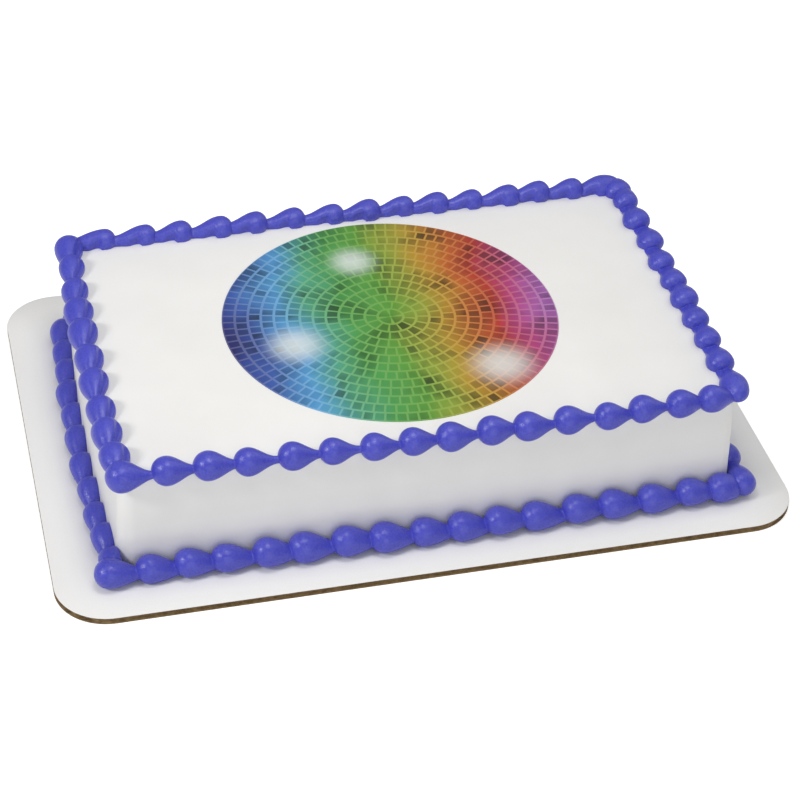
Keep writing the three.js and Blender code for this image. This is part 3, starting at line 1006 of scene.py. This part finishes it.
@dataclass
class Border:
    """A border of piped beads round the cake, four rows long.

    Attributes:
        prefix: the start of the rows' node names.
        shape: the cake that carries the border.
        plans: the plan of each row.
        tail_reach: how far past the next side the last tail runs.
        footing: height of the border's footing.
        astride: whether it sits astride the cake's top edge, not on the board.
        columns: points round a bead.
        sink: how deep the icing sinks into the cake, so that no gap shows.
        board_sink: how deep it sinks into the board.
        cover: how much of the next head's radius covers a tail.
    """

    prefix: str
    shape: CakeShape
    plans: dict[Side, RowPlan]
    tail_reach: float
    footing: float
    astride: bool
    columns: int
    sink: float = 0.4
    board_sink: float = 0.05
    cover: float = 0.9
    front_rings: int = 16
    tail_rings: int = 24

    def settle(self, middle: Array, points: Array) -> Array:
        """Press points flat against the cake and the board.

        Astride the edge, a point inside the cake's corner moves towards the section's
        middle until it lies on the corner's surface. On the board, it moves straight out
        of the side and straight up.

        Args:
            middle: the middle of each point's section.
            points: the points, as distances out of the wall and above the footing.

        Returns:
            The settled points.
        """
        if not self.astride:
            return np.maximum(points, (-self.sink, -self.board_sink))
        way = points - middle
        with np.errstate(divide="ignore", invalid="ignore"):
            share = (-self.sink - middle) / way
        share = np.where(way < 0, share, np.inf)
        reach = np.clip(np.max(share, axis=-1), 0, 1)
        return middle + way * reach[..., None]

    def section(self, middle: Array, offset: Array, relief: Array) -> Array:
        """Place the points of one or more sections.

        Args:
            middle: the sections' middles.
            offset: the way from the middle to each point of an even section.
            relief: the change of each offset, as a share of it.

        Returns:
            The points, as distances out of the wall and above the footing.
        """
        return middle + offset * (1 + relief)[..., None]

    @staticmethod
    def spread(fold: Fold, middle: Array, points: Array, place: Array) -> Array:
        """Let the icing spread into the cake's middle as the fold says."""
        offset = points - middle
        inward = -offset[..., 0] / np.maximum(np.linalg.norm(offset, axis=-1), 0.01)
        moved = points.copy()
        moved[..., 0] -= fold.spread(place, inward, points[..., 1])
        return moved

    def relief(self, fold: Fold, place: Array, phases: Array) -> Array:
        """Add the fold and a bead's own slight lobes: two sine waves round and along it."""
        angle = np.linspace(0, TURN, self.columns, endpoint=False)
        lobes = 0.014 * np.sin(2 * angle + phases[0]) + 0.012 * np.sin(3 * angle + 2 * place + phases[1])
        return lobes + fold.relief(place, np.degrees(angle))

    def front(self, plan: RowPlan, middle: Array, radius: float, neck: Array | None) -> tuple[Array, Array, Array]:
        """Shape a head's front: half an egg that opens from the last tail to a full ring.

        Seen along the row, each point moves straight from the tail's end to the full ring,
        and lies where the egg is as far from the head's middle.

        Args:
            plan: the row's plan.
            middle: the middle of the head's section.
            radius: the head's radius.
            neck: the last ring of the tail before it, or nothing for the first head.

        Returns:
            The sections' middles, the offsets of their points, and the places along the row
            from the head's middle.
        """
        angle = np.linspace(0, TURN, self.columns, endpoint=False)
        way = np.stack([np.cos(angle), np.sin(angle)], -1)
        squash = np.array([1.0, plan.flat])
        opening = np.linspace(0, 1, self.front_rings + 1)[1:, None] ** 1.6
        turn = math.pi / 2 * opening * np.ones(self.columns)
        if neck is None:
            middles = middle + np.array(plan.nose_shift) * (np.cos(turn) ** 2)[..., None]
            return middles, radius * np.sin(turn)[..., None] * way * squash, -radius * plan.nose * np.cos(turn)
        share = np.sin(turn)[..., None]
        offset = (1 - share) * (neck - middle) / squash + share * radius * way
        inside = np.clip(np.linalg.norm(offset, axis=-1) / radius, 0, 1)
        middles = np.broadcast_to(middle, offset.shape)
        return middles, offset * squash, -radius * plan.blunt * np.sqrt(1 - inside**2)

    def row_skin(self, side: Side) -> Shell:
        """Make a row's skin, ring by ring along the side.

        Behind a head's front the ring thins to the tail's end as its fullness says, and
        moves with it. Each tail but the last ends where it meets the next head's front,
        and folds fade out there. The last tail ends in a round tip.

        Args:
            side: the side that the row lies on.

        Returns:
            The closed skin.
        """
        plan = self.plans[side]
        places, radii = plan.heads()
        draws = np.random.default_rng(plan.seed)
        middles = np.array(plan.head) + draws.normal(0, 0.28, (plan.beads, 2))
        phases = draws.uniform(0, TURN, (plan.beads, 2))
        angle = np.linspace(0, TURN, self.columns, endpoint=False)
        squash = np.array([1.0, plan.flat])
        way = np.stack([np.cos(angle), np.sin(angle)], -1) * squash
        run = np.linspace(0, 1, self.tail_rings + 1)[1:, None]
        rings, heights = [], []
        neck = None
        for index, (place, radius, middle) in enumerate(zip(places, radii, middles)):
            centres, offset, along = self.front(plan, middle, radius, neck)
            wake = 1.0 if neck is None else np.linspace(0, 1, self.front_rings)[:, None]
            relief = wake * self.relief(plan.fold, along / radius, phases[index])
            rings.append(self.settle(centres, self.section(centres, offset, relief)))
            heights.append(place + along)
            last = index + 1 == plan.beads
            if last:
                span = self.shape.reach(side.following) + self.tail_reach - place
                ends = np.full(self.columns, span)
            else:
                span = places[index + 1] - place - self.cover * plan.blunt * radii[index + 1]
            full = plan.tail.fullness(run * min(span / radius, plan.tail.reach))
            centres = middle + np.array(plan.tail.shift) * (1 - full)[..., None]
            size = plan.tail.radius + (radius - plan.tail.radius) * full
            if last:
                size *= np.sqrt(1 - 0.96 * np.clip((run - 0.8) / 0.2, 0, 1) ** 2)
            offset = size[..., None] * way
            calm = 1.0 if last else 1 - rise(run, 0.75, 1.0)
            run_radii = run * span / radius
            relief = calm * self.relief(plan.fold, run_radii, phases[index])
            points = self.spread(plan.fold, centres, self.section(centres, offset, relief), run_radii)
            rings.append(self.settle(centres, points))
            if not last:
                neck = points[-1]
                apart = (neck - middles[index + 1]) / squash
                inside = np.clip(np.linalg.norm(apart, axis=-1) / radii[index + 1], 0, 0.999)
                ends = places[index + 1] - place - plan.blunt * radii[index + 1] * np.sqrt(1 - inside**2)
            heights.append(place + run * ends)
        flat = np.concatenate(rings)
        along = np.concatenate([np.broadcast_to(height, (len(height), self.columns)) for height in heights])
        skin = self.shape.points(side, along, flat[..., 0], self.footing + flat[..., 1])
        return Shell(skin, skin[0].mean(axis=0), skin[-1].mean(axis=0))

    def build(self, finish: bpy.types.Material) -> None:
        """Make the four rows."""
        for side in Side:
            add_piece(f"{self.prefix}_{side.name.lower()}", self.row_skin(side), [finish])


@dataclass(frozen=True)
class Softbox:
    """A square softbox that faces the cake's top.

    Attributes:
        name: the light's name.
        place: its place, in metres.
        size: its side, in metres.
        radiance: how bright its face is.
    """

    name: str
    place: tuple[float, float, float]
    size: float
    radiance: float

    def build(self, target: Array) -> None:
        """Hang the softbox, turned towards a target."""
        light = bpy.data.lights.new(self.name, "AREA")
        light.shape = "SQUARE"
        light.size = self.size
        light.energy = self.radiance * math.pi * self.size**2
        holder = bpy.data.objects.new(self.name, light)
        towards = np.array(self.place) - target
        towards /= np.linalg.norm(towards)
        side = np.cross((0, 1, 0), towards)
        side /= np.linalg.norm(side)
        matrix = np.eye(4)
        matrix[:3, :3] = np.stack([side, np.cross(towards, side), towards], -1)
        matrix[:3, 3] = self.place
        holder.matrix_world = Matrix(matrix.tolist())
        bpy.context.scene.collection.objects.link(holder)


@dataclass
class Studio:
    """The pale floor, the soft lights and the camera."""

    camera_mm: tuple[float, float, float] = (-221.3, -860.72, 699.69)
    yaw: float = 14.988
    pitch: float = 37.946
    roll: float = 2.109
    lens: float = 100.53
    sensor: float = 36.0
    floor_size: float = 12.0
    floor_glow: float = 0.5
    ambient: float = 0.32
    backdrop: float = 1.1
    softboxes: tuple[Softbox, ...] = (
        Softbox("ceiling_panel", (0.25, 0.1, 1.1), 1.3, 0.6),
        Softbox("overhead_softbox", (-0.05, -0.12, 0.62), 0.18, 8.5),
        Softbox("left_softbox", (-1.0, -0.29, 0.78), 0.24, 28.0),
        Softbox("front_softbox", (0.0, -1.5, 0.55), 1.2, 1.12),
        Softbox("right_reflector", (1.1, 0.4, 0.8), 0.9, 0.7),
    )

    def floor(self) -> None:
        """Lay a wide white floor just under the board, shown a little brighter than it is lit."""
        half = self.floor_size / 2
        mesh = bpy.data.meshes.new("studio_floor")
        corners = [(-half, -half), (half, -half), (half, half), (-half, half)]
        mesh.from_pydata([(x, y, -0.02 * MM) for x, y in corners], [], [(0, 1, 2, 3)])
        material, tree, _ = new_material("matt_white_paint")
        paint = add_node(tree, "BsdfDiffuse", {"Color": linear("#fcfcfc")})
        ray = add_node(tree, "LightPath").outputs["Is Camera Ray"]
        strength = add_node(tree, "Math", {0: ray, 1: self.floor_glow}, operation="MULTIPLY")
        glow = add_node(tree, "Emission", {"Color": (1, 1, 1, 1), "Strength": strength.outputs[0]})
        finish_surface(tree, add_node(tree, "AddShader", {0: paint.outputs[0], 1: glow.outputs[0]}))
        mesh.materials.append(material)
        floor = bpy.data.objects.new("studio_floor", mesh)
        bpy.context.scene.collection.objects.link(floor)

    def surroundings(self) -> None:
        """Surround the set with even white light, shown brighter where the camera looks past."""
        world = bpy.data.worlds.new("white_studio")
        world.use_nodes = True
        tree = world.node_tree
        tree.nodes.clear()
        ray = add_node(tree, "LightPath").outputs["Is Camera Ray"]
        inputs = {"Value": ray, "To Min": self.ambient, "To Max": self.backdrop}
        strength = add_node(tree, "MapRange", inputs).outputs[0]
        light = add_node(tree, "Background", {"Color": (1, 1, 1, 1), "Strength": strength})
        add_node(tree, "OutputWorld", {"Surface": light.outputs[0]})
        bpy.context.scene.world = world

    def camera(self) -> None:
        """Set the camera by its place, heading, tilt and roll."""
        yaw, pitch, roll = (math.radians(angle) for angle in (self.yaw, self.pitch, self.roll))
        ahead = np.array([math.sin(yaw) * math.cos(pitch), math.cos(yaw) * math.cos(pitch), -math.sin(pitch)])
        level = np.array([math.cos(yaw), -math.sin(yaw), 0.0])
        upright = np.cross(level, ahead)
        right = math.cos(roll) * level + math.sin(roll) * upright
        over = math.cos(roll) * upright - math.sin(roll) * level
        matrix = np.eye(4)
        matrix[:3, :3] = np.stack([right, over, -ahead], -1)
        matrix[:3, 3] = np.array(self.camera_mm) * MM
        data = bpy.data.cameras.new("studio_camera")
        data.lens = self.lens
        data.sensor_width = self.sensor
        data.clip_end = 50.0
        camera = bpy.data.objects.new("studio_camera", data)
        camera.matrix_world = Matrix(matrix.tolist())
        bpy.context.scene.collection.objects.link(camera)
        bpy.context.scene.camera = camera

    def build(self) -> None:
        """Set the floor, the lights, the camera and a plain view transform."""
        self.floor()
        self.surroundings()
        for softbox in self.softboxes:
            softbox.build(np.array([0.0, 0.0, 0.06]))
        self.camera()
        bpy.context.scene.view_settings.view_transform = "Standard"


def top_border(shape: CakeShape) -> Border:
    """Plan the border astride the cake's top edge."""
    plans = {
        Side.FRONT: RowPlan(
            16, -144.9, 133.0, 6.7, 667551, head=(0.3, 1.4), tail=Tail(1.75, 2.12, 2.1, (0.4, -0.5)),
            first_size=1.1, last_step=0.83,
        ),
        Side.RIGHT: RowPlan(
            11, -87.4, 86.8, 7.0, 2297813, head=(0.2, 1.6), tail=Tail(1.5, 2.6, 2.1, (1.4, -0.8)),
            first_size=1.0, last_step=0.62, nose=1.5, nose_shift=(-0.4, 0.3), blunt=0.85, flat=0.8, fold=Curl(),
        ),
        Side.BACK: RowPlan(
            15, -138.6, 126.5, 6.3, 2203108, head=(-1.4, 1.8), tail=Tail(3.0, 2.3, 1.6, (-1.2, -0.4)),
            first_size=1.05, nose=1.6, nose_shift=(1.0, 0.0), blunt=0.9, fold=Foot(),
        ),
        Side.LEFT: RowPlan(
            10, -88.6, 80.0, 7.0, 497636, head=(-0.6, 1.2), tail=Tail(1.4, 2.4, 1.4, (1.0, -0.6)),
            first_size=1.03, fold=Groove(),
        ),
    }
    return Border("top_border", shape, plans, tail_reach=0.3, footing=shape.top, astride=True, columns=144)


def bottom_border(shape: CakeShape) -> Border:
    """Plan the border that lies on the board against the cake's sides."""
    tail = Tail(3.1, 1.9, 1.3, (-0.1, -1.7))
    plans = {
        Side.FRONT: RowPlan(17, -153.9, 141.0, 6.95, 3202690, head=(6.3, 6.7), tail=tail),
        Side.RIGHT: RowPlan(11, -99.8, 88.0, 6.5, 189839, head=(4.6, 6.5), tail=tail),
        Side.BACK: RowPlan(17, -150.0, 139.0, 6.5, 7, head=(5.8, 6.5), tail=tail),
        Side.LEFT: RowPlan(
            11, -88.0, 91.4, 6.3, 2084940, head=(3.4, 6.3), tail=Tail(2.8, 2.2, 1.3, (0.3, -1.8)), nose=1.3,
        ),
    }
    return Border("bottom_border", shape, plans, tail_reach=4.5, footing=shape.foot, astride=False, columns=72)


def main() -> None:
    """Build the cake from the board up, then the studio."""
    logging.basicConfig(level=logging.INFO, format="%(message)s")
    Studio().build()
    CorrugatedBoard().build(
        white=CoatedLiner().material(),
        edge=KraftBoard("cut_liner_edge", "#84704f", "#5a4931").material(),
        kraft=KraftBoard("kraft_liner_board", "#978060", "#755f41").material(),
        medium=KraftBoard("fluted_kraft_medium", "#917954", "#6e583a").material(),
    )
    shape = CakeShape()
    IcedBlock(shape).build(SpreadButtercream().material())
    PrintedSheet().build()
    violet = PipedButtercream().material()
    top_border(shape).build(violet)
    bottom_border(shape).build(violet)


if __name__ == "__main__":
    main()
